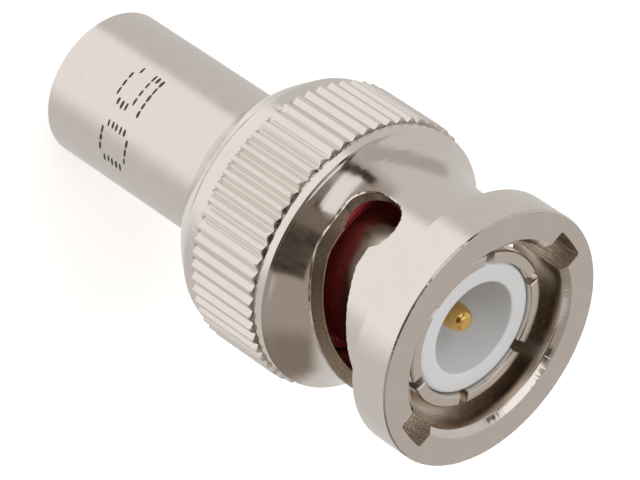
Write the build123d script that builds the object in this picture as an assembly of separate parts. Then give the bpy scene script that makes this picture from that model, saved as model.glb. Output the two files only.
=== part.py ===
from build123d import *
from math import cos, pi, sin, sqrt
import os

# A coaxial terminator: a plain barrel closed at the rear, a resistor inside it, and a
# bayonet coupling nut that turns and slides on the body against wave washers.
# Sizes are in millimetres and angles in degrees. The closed rear end stands on Z = 0
# and the nose points up along +Z. Angles are counted from +X, seen from the nose.

# Barrel
BARREL_RADIUS = 3.95
BARREL_WALL = 0.5
BARREL_END_WALL = 1.2
BARREL_EDGE = 0.06

# Plug body: a spigot inside the barrel and a flange inside the nut
FLANGE_FRONT = 17.65
FLANGE_THICKNESS = 1.25
FLANGE_RADIUS = 5.92
SPIGOT_LENGTH = 6.0
SPIGOT_WALL = 0.54
SPIGOT_EDGE = 0.15

# Outer contact: a slotted sleeve with a root pressed into the plug body
CONTACT_TIP = 27.05
CONTACT_TIP_RADIUS = 4.18
CONTACT_SLEEVE_RADIUS = 4.02
CONTACT_WALL = 0.5
CONTACT_BEAD = 1.3
CONTACT_TIP_ROUND = 0.16
CONTACT_ROOT_LENGTH = 3.25
CONTACT_ROOT_WALL = 0.6
CONTACT_WEB = 0.55
FINGERS = 6
FINGER_SLOT_WIDTH = 0.52
FINGER_SLOT_DEPTH = 4.6
FINGER_SLOT_ANGLE = 47.0

# Insulators
SOCKET_RADIUS = 2.45
SOCKET_DEPTH = 7.05
FRONT_INSULATOR_TIP = 26.86
INSULATOR_EDGE = 0.1
REAR_INSULATOR_LENGTH = 3.0

# Centre contact
PIN_RADIUS = 0.675
PIN_SHAFT_RADIUS = 0.5
PIN_TIP = 26.05
PIN_NOSE_LENGTH = 0.45
PIN_NOSE_RADIUS = 0.25
PIN_SHOULDER_RADIUS = 1.3
PIN_SHOULDER_SEAT = 0.6
PIN_TAIL_RADIUS = 0.95
PIN_TAIL_LENGTH = 1.7
PIN_BORE_DEPTH = 2.0

# Gasket on the flange, around the outer contact
GASKET_INNER_HEIGHT = 2.55
GASKET_OUTER_HEIGHT = 1.95
GASKET_EDGE = 0.12

# Coupling nut, outside
NOSE_FACE = 28.0
RING_RADIUS = 6.8
RING_EDGE = 0.11
RING_EDGE_LENGTH = 0.16
RING_REAR = 25.77
RING_FILLET = 0.4
NECK_RADIUS = 5.6
NECK_HEIGHT = 22.75
COVE_RADIUS = 4.12
COLLAR_RADIUS = 6.96
COLLAR_FRONT_RADIUS = 6.93
KNURL_RADIUS = 7.2
KNURL_FRONT = 18.87
KNURL_REAR = 14.72
KNURL_STEP = 0.05
KNURLS = 60
KNURL_ANGLE = 4.0
KNURL_DEPTH = 0.27
KNURL_WIDTH = 0.56
HEEL_RADIUS = 6.65
HEEL_HEIGHT = 13.55
HEEL_ROUND = 0.5
LIP_RADIUS = 5.1
LIP_REAR = 11.7
LIP_CROWN = 0.12

# Coupling nut, inside
NUT_BORE_RADIUS = 4.94
NUT_BORE_CHAMFER = 0.37
NUT_CHAMBER_REAR = 13.3

# Bayonet slots: an entry channel behind the nose face, a ramp, a level run and a round seat
SLOTS = 2
SLOT_WIDTH = 2.2
SLOT_REACH = 6.1
ENTRY_ANGLE = 60.0
ENTRY_FLOOR_RADIUS = 5.97
RAMP_END_ANGLE = -12.0
RAMP_END_HEIGHT = 22.0
RAMP_LEAD = 8.8
SEAT_ANGLE = -36.0
SEAT_HEIGHT = 22.25
SEAT_RADIUS = 1.38

# Washers between the nut's rear wall and the flange
WASHER_RADIUS = 5.7
SLIP_WASHER_THICKNESS = 0.35
FLANGE_WASHER_THICKNESS = 0.3
WAVE_WASHERS = ("wave_washer_rear", "wave_washer_middle", "wave_washer_front")
WAVE_SHEET = 0.2
WAVES = 3

# Resistor and its leads
RESISTOR_RADIUS = 1.1
RESISTOR_LENGTH = 5.6
RESISTOR_REAR = 4.6
CAP_WALL = 0.12
CAP_LENGTH = 1.1
LEAD_RADIUS = 0.3
BUSH_LENGTH = 1.6
SOLDER_RADIUS = 0.85
SOLDER_HEIGHT = 0.5

# Clearances, each on one side
PRESS_CLEARANCE = 0.01
SEAT_CLEARANCE = 0.02
LEAD_CLEARANCE = 0.03
NUT_RUNNING_CLEARANCE = 0.08
NUT_END_CLEARANCE = 0.05
LIP_CLEARANCE = 0.35
WASHER_CLEARANCE = 0.25
WAVE_CLEARANCE = 0.01

# How far a cutting tool runs past the surface it opens
CUT_OVERRUN = 0.5

# Places and sizes that follow from the values above
BARREL_BORE = BARREL_RADIUS - BARREL_WALL
FLANGE_REAR = FLANGE_FRONT - FLANGE_THICKNESS
SPIGOT_RADIUS = BARREL_BORE - PRESS_CLEARANCE
SPIGOT_REAR = FLANGE_REAR - SPIGOT_LENGTH
BODY_BORE = SPIGOT_RADIUS - SPIGOT_WALL
CONTACT_ROOT_RADIUS = BODY_BORE - PRESS_CLEARANCE
CONTACT_REAR = FLANGE_FRONT - CONTACT_ROOT_LENGTH
CONTACT_ROOT_BORE = CONTACT_ROOT_RADIUS - CONTACT_ROOT_WALL
CONTACT_BORE = CONTACT_SLEEVE_RADIUS - CONTACT_WALL
CONTACT_FLOOR = FLANGE_FRONT + CONTACT_WEB
INSULATOR_RADIUS = CONTACT_BORE - SEAT_CLEARANCE
REAR_INSULATOR_RADIUS = CONTACT_ROOT_BORE - SEAT_CLEARANCE
SOCKET_FLOOR = FRONT_INSULATOR_TIP - SOCKET_DEPTH
PIN_HOLE_RADIUS = PIN_SHAFT_RADIUS + SEAT_CLEARANCE
REAR_INSULATOR_FRONT = CONTACT_FLOOR - PIN_SHOULDER_SEAT
REAR_INSULATOR_REAR = REAR_INSULATOR_FRONT - REAR_INSULATOR_LENGTH
PIN_REAR = REAR_INSULATOR_REAR - PIN_TAIL_LENGTH
LEAD_HOLE_RADIUS = LEAD_RADIUS + LEAD_CLEARANCE
NUT_CHAMBER_RADIUS = FLANGE_RADIUS + NUT_RUNNING_CLEARANCE
NUT_CHAMBER_FRONT = FLANGE_FRONT + NUT_END_CLEARANCE
LIP_BORE = BARREL_RADIUS + LIP_CLEARANCE
WASHER_BORE = BARREL_RADIUS + WASHER_CLEARANCE
SLIP_WASHER_REAR = NUT_CHAMBER_REAR + SEAT_CLEARANCE
SLIP_WASHER_FRONT = SLIP_WASHER_REAR + SLIP_WASHER_THICKNESS
FLANGE_WASHER_REAR = FLANGE_REAR - FLANGE_WASHER_THICKNESS
WAVE_HEIGHT = (FLANGE_WASHER_REAR - SLIP_WASHER_FRONT) / len(WAVE_WASHERS)
RESISTOR_FRONT = RESISTOR_REAR + RESISTOR_LENGTH
SLOT_CUT_INNER = NUT_BORE_RADIUS - CUT_OVERRUN
SLOT_CUT_DEPTH = SLOT_REACH - SLOT_CUT_INNER

os.makedirs("parts", exist_ok=True)


def turned(outline):
    """Revolves a closed outline, drawn as radius and height, about the axis."""
    return revolve(Plane.XZ * make_face(outline), Axis.Z)


def turned_points(*points):
    """Revolves a closed polygon of radius and height points."""
    return turned(Polyline(*points, close=True))


def ring(outer, inner, low, high):
    """A plain ring between two heights."""
    return turned_points((inner, low), (outer, low), (outer, high), (inner, high))


def around(solid, count, first_angle):
    """Copies of a solid at equal angles about the axis."""
    step = 360 / count
    return [Rot(0, 0, first_angle + i * step) * solid for i in range(count)]


def barrel():
    """The outer tube with its closed rear end; its mouth meets the flange."""
    return turned_points(
        (0, 0),
        (BARREL_RADIUS - BARREL_EDGE, 0),
        (BARREL_RADIUS, BARREL_EDGE),
        (BARREL_RADIUS, FLANGE_REAR),
        (BARREL_BORE, FLANGE_REAR),
        (BARREL_BORE, BARREL_END_WALL),
        (0, BARREL_END_WALL),
    )


def plug_body():
    """The spigot pressed into the barrel, with the flange that carries the nut."""
    return turned_points(
        (BODY_BORE, SPIGOT_REAR),
        (SPIGOT_RADIUS - SPIGOT_EDGE, SPIGOT_REAR),
        (SPIGOT_RADIUS, SPIGOT_REAR + SPIGOT_EDGE),
        (SPIGOT_RADIUS, FLANGE_REAR),
        (FLANGE_RADIUS, FLANGE_REAR),
        (FLANGE_RADIUS, FLANGE_FRONT),
        (BODY_BORE, FLANGE_FRONT),
    )


def outer_contact():
    """The sleeve with its beaded tip, sawn into spring fingers."""
    bead_rear = CONTACT_TIP - CONTACT_BEAD
    inner_tip = CONTACT_BORE + CONTACT_TIP_ROUND
    outline = (
        Polyline(
            (CONTACT_TIP_RADIUS - CONTACT_TIP_ROUND, CONTACT_TIP),
            (inner_tip, CONTACT_TIP),
            (CONTACT_BORE, CONTACT_TIP - CONTACT_TIP_ROUND),
            (CONTACT_BORE, CONTACT_FLOOR),
            (CONTACT_ROOT_BORE, CONTACT_FLOOR),
            (CONTACT_ROOT_BORE, CONTACT_REAR),
            (CONTACT_ROOT_RADIUS, CONTACT_REAR),
            (CONTACT_ROOT_RADIUS, FLANGE_FRONT),
            (CONTACT_SLEEVE_RADIUS, FLANGE_FRONT),
            (CONTACT_SLEEVE_RADIUS, bead_rear - CONTACT_BEAD),
            (CONTACT_TIP_RADIUS, bead_rear),
            (CONTACT_TIP_RADIUS, CONTACT_TIP - CONTACT_TIP_ROUND),
        )
        + RadiusArc(
            (CONTACT_TIP_RADIUS, CONTACT_TIP - CONTACT_TIP_ROUND),
            (CONTACT_TIP_RADIUS - CONTACT_TIP_ROUND, CONTACT_TIP),
            -CONTACT_TIP_ROUND,
        )
    )
    saw_cut = Pos(CONTACT_BORE, 0, CONTACT_TIP - FINGER_SLOT_DEPTH) * Box(
        4 * CONTACT_WALL,
        FINGER_SLOT_WIDTH,
        FINGER_SLOT_DEPTH + CONTACT_WALL,
        align=(Align.CENTER, Align.CENTER, Align.MIN),
    )
    return turned(outline) - around(saw_cut, FINGERS, FINGER_SLOT_ANGLE)


def front_insulator():
    """The white cup inside the fingers, open to the nose around the pin."""
    edge = INSULATOR_EDGE
    return turned_points(
        (PIN_HOLE_RADIUS, CONTACT_FLOOR),
        (INSULATOR_RADIUS, CONTACT_FLOOR),
        (INSULATOR_RADIUS, FRONT_INSULATOR_TIP - edge),
        (INSULATOR_RADIUS - edge, FRONT_INSULATOR_TIP),
        (SOCKET_RADIUS + edge, FRONT_INSULATOR_TIP),
        (SOCKET_RADIUS, FRONT_INSULATOR_TIP - edge),
        (SOCKET_RADIUS, SOCKET_FLOOR),
        (PIN_HOLE_RADIUS, SOCKET_FLOOR),
    )


def rear_insulator():
    """The bead behind the pin's shoulder."""
    return ring(REAR_INSULATOR_RADIUS, PIN_HOLE_RADIUS, REAR_INSULATOR_REAR, REAR_INSULATOR_FRONT)


def centre_contact():
    """The pin: coned nose, shoulder held between the insulators, bored tail."""
    shoulder_rear = REAR_INSULATOR_FRONT + SEAT_CLEARANCE
    shoulder_front = CONTACT_FLOOR - SEAT_CLEARANCE
    return turned_points(
        (0, PIN_TIP),
        (0, PIN_REAR + PIN_BORE_DEPTH),
        (LEAD_HOLE_RADIUS, PIN_REAR + PIN_BORE_DEPTH),
        (LEAD_HOLE_RADIUS, PIN_REAR),
        (PIN_TAIL_RADIUS, PIN_REAR),
        (PIN_TAIL_RADIUS, REAR_INSULATOR_REAR - SEAT_CLEARANCE),
        (PIN_SHAFT_RADIUS, REAR_INSULATOR_REAR - SEAT_CLEARANCE),
        (PIN_SHAFT_RADIUS, shoulder_rear),
        (PIN_SHOULDER_RADIUS, shoulder_rear),
        (PIN_SHOULDER_RADIUS, shoulder_front),
        (PIN_SHAFT_RADIUS, shoulder_front),
        (PIN_SHAFT_RADIUS, SOCKET_FLOOR + SEAT_CLEARANCE),
        (PIN_RADIUS, SOCKET_FLOOR + SEAT_CLEARANCE),
        (PIN_RADIUS, PIN_TIP - PIN_NOSE_LENGTH),
        (PIN_NOSE_RADIUS, PIN_TIP),
    )


def gasket():
    """The soft ring that the mating shell is pressed against; its top slopes outwards."""
    inner = CONTACT_SLEEVE_RADIUS + SEAT_CLEARANCE
    outer = NUT_BORE_RADIUS - NUT_RUNNING_CLEARANCE
    return turned_points(
        (inner, FLANGE_FRONT),
        (outer, FLANGE_FRONT),
        (outer, FLANGE_FRONT + GASKET_OUTER_HEIGHT),
        (inner + GASKET_EDGE, FLANGE_FRONT + GASKET_INNER_HEIGHT),
        (inner, FLANGE_FRONT + GASKET_INNER_HEIGHT),
    )


def cove_length(radius):
    """How far behind the neck the cove has widened to a radius."""
    return sqrt(COVE_RADIUS**2 - (COVE_RADIUS + NECK_RADIUS - radius) ** 2)


def nut_blank():
    """The turned nut before knurling and milling, its rear lip rolled in over the washers."""
    cove_rear = (COLLAR_FRONT_RADIUS, NECK_HEIGHT - cove_length(COLLAR_FRONT_RADIUS))
    neck_rear = (NECK_RADIUS, NECK_HEIGHT)
    neck_front = (NECK_RADIUS, RING_REAR - RING_FILLET)
    shoulder = (NECK_RADIUS + RING_FILLET, RING_REAR)
    heel = (HEEL_RADIUS, HEEL_HEIGHT)
    lip = (LIP_RADIUS, LIP_REAR)
    crown = (
        (LIP_RADIUS + HEEL_RADIUS) / 2 + LIP_CROWN,
        (LIP_REAR + HEEL_HEIGHT) / 2 - LIP_CROWN,
    )
    outline = (
        ThreePointArc(lip, crown, heel)
        + Polyline(
            heel,
            (COLLAR_RADIUS, HEEL_HEIGHT + HEEL_ROUND),
            (COLLAR_RADIUS, KNURL_REAR - KNURL_STEP),
            (KNURL_RADIUS, KNURL_REAR + KNURL_STEP),
            (KNURL_RADIUS, KNURL_FRONT - KNURL_STEP),
            (COLLAR_RADIUS, KNURL_FRONT + KNURL_STEP),
            cove_rear,
        )
        + RadiusArc(cove_rear, neck_rear, COVE_RADIUS)
        + Line(neck_rear, neck_front)
        + RadiusArc(neck_front, shoulder, RING_FILLET)
        + Polyline(
            shoulder,
            (RING_RADIUS, RING_REAR),
            (RING_RADIUS, NOSE_FACE - RING_EDGE_LENGTH),
            (RING_RADIUS - RING_EDGE, NOSE_FACE),
            (NUT_BORE_RADIUS + NUT_BORE_CHAMFER, NOSE_FACE),
            (NUT_BORE_RADIUS, NOSE_FACE - NUT_BORE_CHAMFER),
            (NUT_BORE_RADIUS, NUT_CHAMBER_FRONT),
            (NUT_CHAMBER_RADIUS, NUT_CHAMBER_FRONT),
            (NUT_CHAMBER_RADIUS, NUT_CHAMBER_REAR),
            (LIP_BORE, NUT_CHAMBER_REAR),
            (LIP_BORE, LIP_REAR),
            lip,
        )
    )
    return turned(outline)


def knurl_cuts():
    """The V grooves between the knurl's ridges, as one pattern."""
    half_width = KNURL_WIDTH / 2 * (KNURL_DEPTH + CUT_OVERRUN) / KNURL_DEPTH
    groove = Polygon(
        (CUT_OVERRUN, -half_width),
        (CUT_OVERRUN, half_width),
        (-KNURL_DEPTH, 0),
        align=None,
    )
    places = PolarLocations(KNURL_RADIUS, KNURLS, start_angle=KNURL_ANGLE)
    grooves = Sketch() + [place * groove for place in places]
    return extrude(Pos(0, 0, KNURL_REAR) * grooves, KNURL_FRONT + KNURL_STEP - KNURL_REAR)


def milled_hole(angle, height, radius):
    """A round cut into the nut's wall from its bore, square to the axis."""
    tool = Rot(0, 90, 0) * Cylinder(
        radius, SLOT_CUT_DEPTH, align=(Align.CENTER, Align.CENTER, Align.MIN)
    )
    return Rot(0, 0, angle) * Pos(SLOT_CUT_INNER, 0, height) * tool


def bayonet_slot():
    """One slot: entry channel, helical ramp, level run and the stud's seat."""
    ramp_sweep = ENTRY_ANGLE - RAMP_END_ANGLE
    ramp_rise = RAMP_LEAD * ramp_sweep / 360
    entry_height = RAMP_END_HEIGHT + ramp_rise
    middle = SLOT_REACH - SLOT_CUT_DEPTH / 2
    profile = Rectangle(SLOT_CUT_DEPTH, SLOT_WIDTH)
    path = Helix(RAMP_LEAD, ramp_rise, middle)
    ramp_start = Plane(origin=path @ 0, x_dir=(1, 0, 0), z_dir=path % 0)
    ramp = sweep(ramp_start * profile, path, is_frenet=True)
    ramp = Pos(0, 0, RAMP_END_HEIGHT) * Rot(0, 0, RAMP_END_ANGLE) * ramp
    level = revolve(
        Plane.XZ * Pos(middle, RAMP_END_HEIGHT) * profile, Axis.Z, RAMP_END_ANGLE - SEAT_ANGLE
    )
    level = Rot(0, 0, SEAT_ANGLE) * level
    channel = Rot(0, 0, ENTRY_ANGLE) * Pos(middle, 0, entry_height) * Box(
        2 * SLOT_CUT_DEPTH,
        SLOT_WIDTH,
        NOSE_FACE - entry_height + CUT_OVERRUN,
        align=(Align.CENTER, Align.CENTER, Align.MIN),
    )
    channel = channel + milled_hole(ENTRY_ANGLE, entry_height, SLOT_WIDTH / 2)
    channel = channel & Cylinder(
        ENTRY_FLOOR_RADIUS, 2 * NOSE_FACE, align=(Align.CENTER, Align.CENTER, Align.MIN)
    )
    corner = milled_hole(RAMP_END_ANGLE, RAMP_END_HEIGHT, SLOT_WIDTH / 2)
    seat = milled_hole(SEAT_ANGLE, SEAT_HEIGHT, SEAT_RADIUS)
    return [ramp, corner, level, channel, seat]


def coupling_nut():
    """The bayonet nut with its knurl and its two slots."""
    nut = nut_blank() - knurl_cuts()
    for i in range(SLOTS):
        for cut in bayonet_slot():
            nut = nut - Rot(0, 0, i * 360 / SLOTS) * cut
    return nut


def slip_washer():
    """The flat washer that travels with the nut."""
    return ring(WASHER_RADIUS, WASHER_BORE, SLIP_WASHER_REAR, SLIP_WASHER_FRONT)


def flange_washer():
    """The flat washer against the flange."""
    return ring(WASHER_RADIUS, WASHER_BORE, FLANGE_WASHER_REAR, FLANGE_REAR)


def wave_edge(radius, swing, points_per_wave=12):
    """A closed sinusoidal curve around the axis."""
    count = WAVES * points_per_wave
    angles = [2 * pi * i / count for i in range(count)]
    return Spline(
        *[(radius * cos(a), radius * sin(a), swing * cos(WAVES * a)) for a in angles],
        periodic=True,
    )


def wave_washer(index):
    """One wavy spring washer of the stack; neighbours meet crest to crest."""
    swing = (WAVE_HEIGHT - WAVE_SHEET) / 2 - WAVE_CLEARANCE
    low = SLIP_WASHER_FRONT + index * WAVE_HEIGHT + WAVE_HEIGHT / 2 - WAVE_SHEET / 2
    sheet = Face.make_surface_from_curves(
        wave_edge(WASHER_BORE, swing).edge(), wave_edge(WASHER_RADIUS, swing).edge()
    )
    washer = extrude(sheet, WAVE_SHEET, dir=(0, 0, 1))
    turn = 180 / WAVES * (index % 2)
    return Pos(0, 0, low) * Rot(0, 0, turn) * washer


def resistor_cap(open_end, closed_end):
    """A metal cup over one end of the resistor."""
    outer = RESISTOR_RADIUS + SEAT_CLEARANCE + CAP_WALL
    inner = RESISTOR_RADIUS + SEAT_CLEARANCE
    wall = CAP_WALL if closed_end > open_end else -CAP_WALL
    return turned_points(
        (0, closed_end),
        (outer, closed_end),
        (outer, open_end),
        (inner, open_end),
        (inner, closed_end - wall),
        (0, closed_end - wall),
    )


def ground_bush():
    """The plug at the bottom of the barrel that takes the rear lead."""
    outer = BARREL_BORE - PRESS_CLEARANCE
    return ring(outer, LEAD_HOLE_RADIUS, BARREL_END_WALL, BARREL_END_WALL + BUSH_LENGTH)


def solder(base, away):
    """A fillet of solder around a lead, standing on a face."""
    tip = base + away * SOLDER_HEIGHT
    return turned_points((LEAD_RADIUS, base), (SOLDER_RADIUS, base), (LEAD_RADIUS, tip))


def lead(low, high):
    """A straight wire on the axis."""
    return Pos(0, 0, low) * Cylinder(
        LEAD_RADIUS, high - low, align=(Align.CENTER, Align.CENTER, Align.MIN)
    )


def resistor_body():
    """The ceramic rod."""
    return Pos(0, 0, RESISTOR_REAR) * Cylinder(
        RESISTOR_RADIUS, RESISTOR_LENGTH, align=(Align.CENTER, Align.CENTER, Align.MIN)
    )


def pieces():
    """Every piece of the terminator by name."""
    bush_front = BARREL_END_WALL + BUSH_LENGTH
    front_cap_end = RESISTOR_FRONT + CAP_WALL
    rear_cap_end = RESISTOR_REAR - CAP_WALL
    made = {
        "barrel": barrel(),
        "plug_body": plug_body(),
        "outer_contact": outer_contact(),
        "front_insulator": front_insulator(),
        "rear_insulator": rear_insulator(),
        "centre_contact": centre_contact(),
        "gasket": gasket(),
        "coupling_nut": coupling_nut(),
        "slip_washer": slip_washer(),
        "flange_washer": flange_washer(),
        "resistor_body": resistor_body(),
        "resistor_front_cap": resistor_cap(front_cap_end - CAP_LENGTH, front_cap_end),
        "resistor_rear_cap": resistor_cap(rear_cap_end + CAP_LENGTH, rear_cap_end),
        "resistor_front_lead": lead(front_cap_end, PIN_REAR + PIN_BORE_DEPTH - SEAT_CLEARANCE),
        "resistor_rear_lead": lead(BARREL_END_WALL, rear_cap_end),
        "ground_bush": ground_bush(),
        "front_solder": solder(PIN_REAR, -1),
        "rear_solder": solder(bush_front, 1),
    }
    for index, name in enumerate(WAVE_WASHERS):
        made[name] = wave_washer(index)
    return made


for name, piece in pieces().items():
    piece.label = name
    export_step(piece, f"parts/{name}.step")
    print(name, round(piece.volume, 2), piece.is_valid)
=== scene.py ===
import random
from math import asin, atan2, cos, degrees, hypot, pi, radians, sin, sqrt

import bmesh
import bpy
from mathutils import Matrix, Vector


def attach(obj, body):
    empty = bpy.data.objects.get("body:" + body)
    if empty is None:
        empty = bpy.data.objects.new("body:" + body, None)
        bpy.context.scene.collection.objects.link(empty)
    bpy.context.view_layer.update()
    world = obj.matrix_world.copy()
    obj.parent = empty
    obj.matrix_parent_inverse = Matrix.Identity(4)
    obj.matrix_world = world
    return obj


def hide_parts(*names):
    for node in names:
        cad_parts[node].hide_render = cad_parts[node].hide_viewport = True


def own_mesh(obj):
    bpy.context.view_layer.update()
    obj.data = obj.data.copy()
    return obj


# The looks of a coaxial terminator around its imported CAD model.
# Sizes are written in millimetres and angles in degrees, and MM turns them into the
# frame's metres. Angles are counted from +X about the axis, seen from the nose.
MM = 0.001

# Camera, found by fitting the photograph's circles
CAMERA_PLACE = (183.14, -66.60, 159.89)
CAMERA_RIGHT = (-0.65406, -0.35461, 0.66817)
CAMERA_UP = (0.02472, -0.89286, -0.44966)
CAMERA_BACK = (0.75604, -0.27759, 0.59275)
CAMERA_LENS = 281.25
CAMERA_SENSOR = 36
PART_MIDDLE = (0, 0, 14)
FLOOR_HALF_SIZE = 400

# Barrel
BARREL_RADIUS = 3.95
BARREL_BORE = 3.45
BARREL_END_WALL = 1.2
BARREL_TOP = 16.4
BARREL_EDGE = 0.09
BARREL_RIM = 1.0
BARREL_ROWS = (4, 10)

# Numerals printed on the barrel, each from its starting angle toward larger angles.
# Their tops are toward the nose, and each mark is one dash.
INK_TOP = 5.9
INK_ROW = 0.3
INK_COLUMN = 7.0
INK_DASH = 6.0
INK_HALF_HEIGHT = 0.08
INK_THICKNESS = 0.006
INK_SINK = 0.02
INK_STEPS = 3
INK_END_SHARE = 0.6
INK_HEIGHT_DRIFT = 0.02
INK_ANGLE_DRIFT = 0.4
INK_LENGTH_SHARES = (0.85, 1.05)
INK_HEIGHT_SHARES = (0.75, 1.1)
NUMERALS = (
    (-44, ("#####", "#    ", "#### ", "    #", "    #", "#   #", " ### ")),
    (1, (" ### ", "#   #", "#   #", "#   #", "#   #", "#   #", " ### ")),
)

# Coupling nut, outside
NOSE_FACE = 28.0
RING_RADIUS = 6.8
RING_EDGE = 0.06
RING_EDGE_LENGTH = 0.09
RING_REAR = 25.77
RING_FILLET = 0.4
RING_FILLET_STEPS = 4
NECK_RADIUS = 5.6
NECK_HEIGHT = 22.75
COVE_RADIUS = 4.12
COVE_STEPS = 30
COVE_LINE = 20.35
COVE_LINE_DEPTH = 0.014
COVE_LINE_HALF_WIDTH = 0.09
COLLAR_RADIUS = 6.96
COLLAR_FRONT_RADIUS = 6.93
COLLAR_FLAT_START = 0.4
HEEL_RADIUS = 6.65
HEEL_HEIGHT = 13.55
HEEL_BEND_LENGTH = 0.5
HEEL_BEND_ROUNDING = 0.1
LIP_RADIUS = 5.1
LIP_REAR = 11.7
LIP_CROWN = 0.12
LIP_CROWN_LEAN = 0.7
LIP_STEPS = 10

# Knurl. A burr stands at the front end of each groove, and the ridges' ends are lifted.
KNURL_RADIUS = 7.2
KNURL_REAR = 14.72
KNURL_FRONT = 18.87
KNURLS = 60
KNURL_PITCH = 360 / KNURLS
KNURL_ANGLE = 4.0
KNURL_OVERCUT = 0.03
KNURL_HALF_WIDTH = 2.23
KNURL_STEP = 0.06
KNURL_FRONT_LIMIT = 0.03
RIDGE_DRIFT = 0.01
RIDGE_REAR_SINK = 0.02
RIDGE_FRONT_SINK = 0.03
BURR_LENGTH = 0.17
BURR_RUN = 0.19
BURR_REACH = 0.2
BURR_DEPTHS = (0.02, 0.13)
RIDGE_LIFTS = (0.02, 0.07)

# Rows of the nut's outline: the heel's bend out of its radius and height, the groove sunk
# into the collar past the knurl, and the collar's front edge out of its radius and rearwards
HEEL_BEND = ((0.1, 0.08), (0.21, 0.24))
GROOVE_DEPTH = 0.1
COLLAR_GROOVE = (
    (GROOVE_DEPTH, 0.05), (GROOVE_DEPTH, 0.1), (0.04, 0.13),
    (0.07, 0.17), (0.07, 0.2), (0.0, 0.23),
)
COLLAR_EDGE = ((0.015, 0.19), (-0.05, 0.12), (0.015, 0.03), (0.0, 0.005))
KNURL_REAR_ROWS = (-0.07, -0.04, 0.02, 0.1, 0.25)
KNURL_MIDDLE_ROWS = (15.6, 16.4, 17.2, 18.0, 18.5)
KNURL_FRONT_ROWS = (-0.16, -0.1, -0.05, -0.01, 0.02)
NUT_BORE_ROWS = (27.0, 26.0, 24.5, 23.0, 21.5, 20.0, 19.0)

# Angles of the nut's mesh about each groove, close together where the knurl's flanks bend
KNURL_PATTERN = (-2.95, -2.45, -2.2, -1.9, -1.0, -0.25, 0.25, 1.0, 1.9, 2.2, 2.45, 2.95)

# Nicks along the two edges of the nose face
NICKS_PER_DEGREE = 4
NICK_OUTER = 0.012
NICK_INNER = 0.007
NOSE_FACE_DEPTH = 0.03
NICK_OUTER_REACH = 0.04
NICK_INNER_REACH = 0.05

# Coupling nut, inside
NUT_BORE = 4.94
NUT_BORE_CHAMFER = 0.37
NUT_BORE_CHAMFER_LENGTH = 0.29
CHAMBER_RADIUS = 6.0
CHAMBER_FRONT = 17.7
CHAMBER_REAR = 13.3
LIP_BORE = 4.3

# Bayonet slots. A flare is how far an edge is opened, in units of SLOT_EDGE.
SLOT_HALF_WIDTH = 1.1
SLOT_MIDDLE = (NUT_BORE + NECK_RADIUS) / 2
SLOT_TOOL_START = 0.8
SLOT_TOOL_REACH = 9.0
SLOT_EDGE = 0.06
SLOT_BURR = 0.03
SLOT_ROUGHNESS = (0.5, 1.4)
LEVEL_START = 2.0
LEVEL_STEP = 1.7
LEVEL_STEPS = 11
LEVEL_END = 4.0
RAMP_END_ANGLE = -12.0
RAMP_END_HEIGHT = 22.0
RAMP_LEAD = 8.8
RAMP_STEPS = 48
RAMP_ROUND_STEPS = 6
SEAT_ANGLE = -36.0
SEAT_HEIGHT = 22.25
SEAT_RADIUS = 1.38
SEAT_STEPS = 36
SEAT_FLARE = 6.0
ENTRY_ANGLE = 60.0
ENTRY_FLOOR = 5.97
ENTRY_EDGE = 0.035
ENTRY_CROWN = 0.04
ENTRY_CORNER = 0.12
ENTRY_CORNER_SINK = 0.03
ENTRY_CORNER_INSET = 0.05
ENTRY_FLOOR_SHARES = (-0.9, -0.45, 0, 0.45, 0.9)

# The nut's materials, in the order of its list, and where two of them end. All but the plated one
# are darker, browner nickel: painted shade in the slots and the bore.
PLATED, MILLED_SHADED, BORED_SHADED, BROACHED_SHADED = range(4)
SHADED_BORE_TOP = 27.6
MILLED_SHADED_TOP = 26.0

# Outer contact
CONTACT_TIP = 27.05
CONTACT_TIP_RADIUS = 4.18
CONTACT_SLEEVE = 4.02
CONTACT_SLEEVE_ROW = 21.0
CONTACT_BORE = 3.52
CONTACT_BORE_ROW = 22.5
CONTACT_MOUTH = 0.03
CONTACT_MOUTH_LENGTH = 0.4
CONTACT_BEAD = 1.3
CONTACT_FLOOR = 18.2
CONTACT_ROOT_RADIUS = 2.89
CONTACT_ROOT_BORE = 2.29
CONTACT_REAR = 14.4
FLANGE_FRONT = 17.65
FINGERS = 6
FINGER_SLOT_WIDTH = 0.52
FINGER_SLOT_DEPTH = 4.6
FINGER_SLOT_ANGLE = 47.0
SAW_OVERRUN = 0.6
SAW_FLARE = ((-0.1, 0), (-0.03, 0.02), (0.01, 0.07), (0.4, 0.1))

# Insulator, pin and gasket
FIT = 0.02
INSULATOR_RADIUS = 3.5
INSULATOR_TIP = 26.86
INSULATOR_ROW = 22.0
SOCKET_RADIUS = 2.45
SOCKET_ROW = 23.0
SOCKET_FLOOR = 19.81
PIN_RADIUS = 0.675
PIN_SHAFT = 0.5
PIN_TIP = 26.35
PIN_NOSE_LENGTH = 0.75
PIN_NOSE_RADIUS = 0.22
PIN_NOSE_STEPS = 12
PIN_SHOULDER = 1.3
PIN_SHOULDER_REAR = 17.62
PIN_TAIL = 0.95
PIN_TAIL_FRONT = 14.58
PIN_REAR = 12.9
PIN_BORE = 0.33
PIN_BORE_FRONT = 14.9
GASKET_INNER = 4.04
GASKET_OUTER = 4.86
GASKET_INNER_TOP = 20.2
GASKET_OUTER_TOP = 19.6
GASKET_SLOPE = 0.12

# Where the cove mirrors a grey band: it runs straight from the first place to the second,
# each an angle and a height. The size is the half width of one of its patches, in degrees.
BAND_START = (-90.0, 21.63)
BAND_END = (-58.0, 19.95)
BAND_STEPS = 14
BAND_HALF_WIDTH = 6.5
BAND_SOFTNESS = 0.7

# The streaked dark part of the studio: azimuth, elevation, half width and half height
STREAKED = (1, 34, 25, 20)


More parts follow.
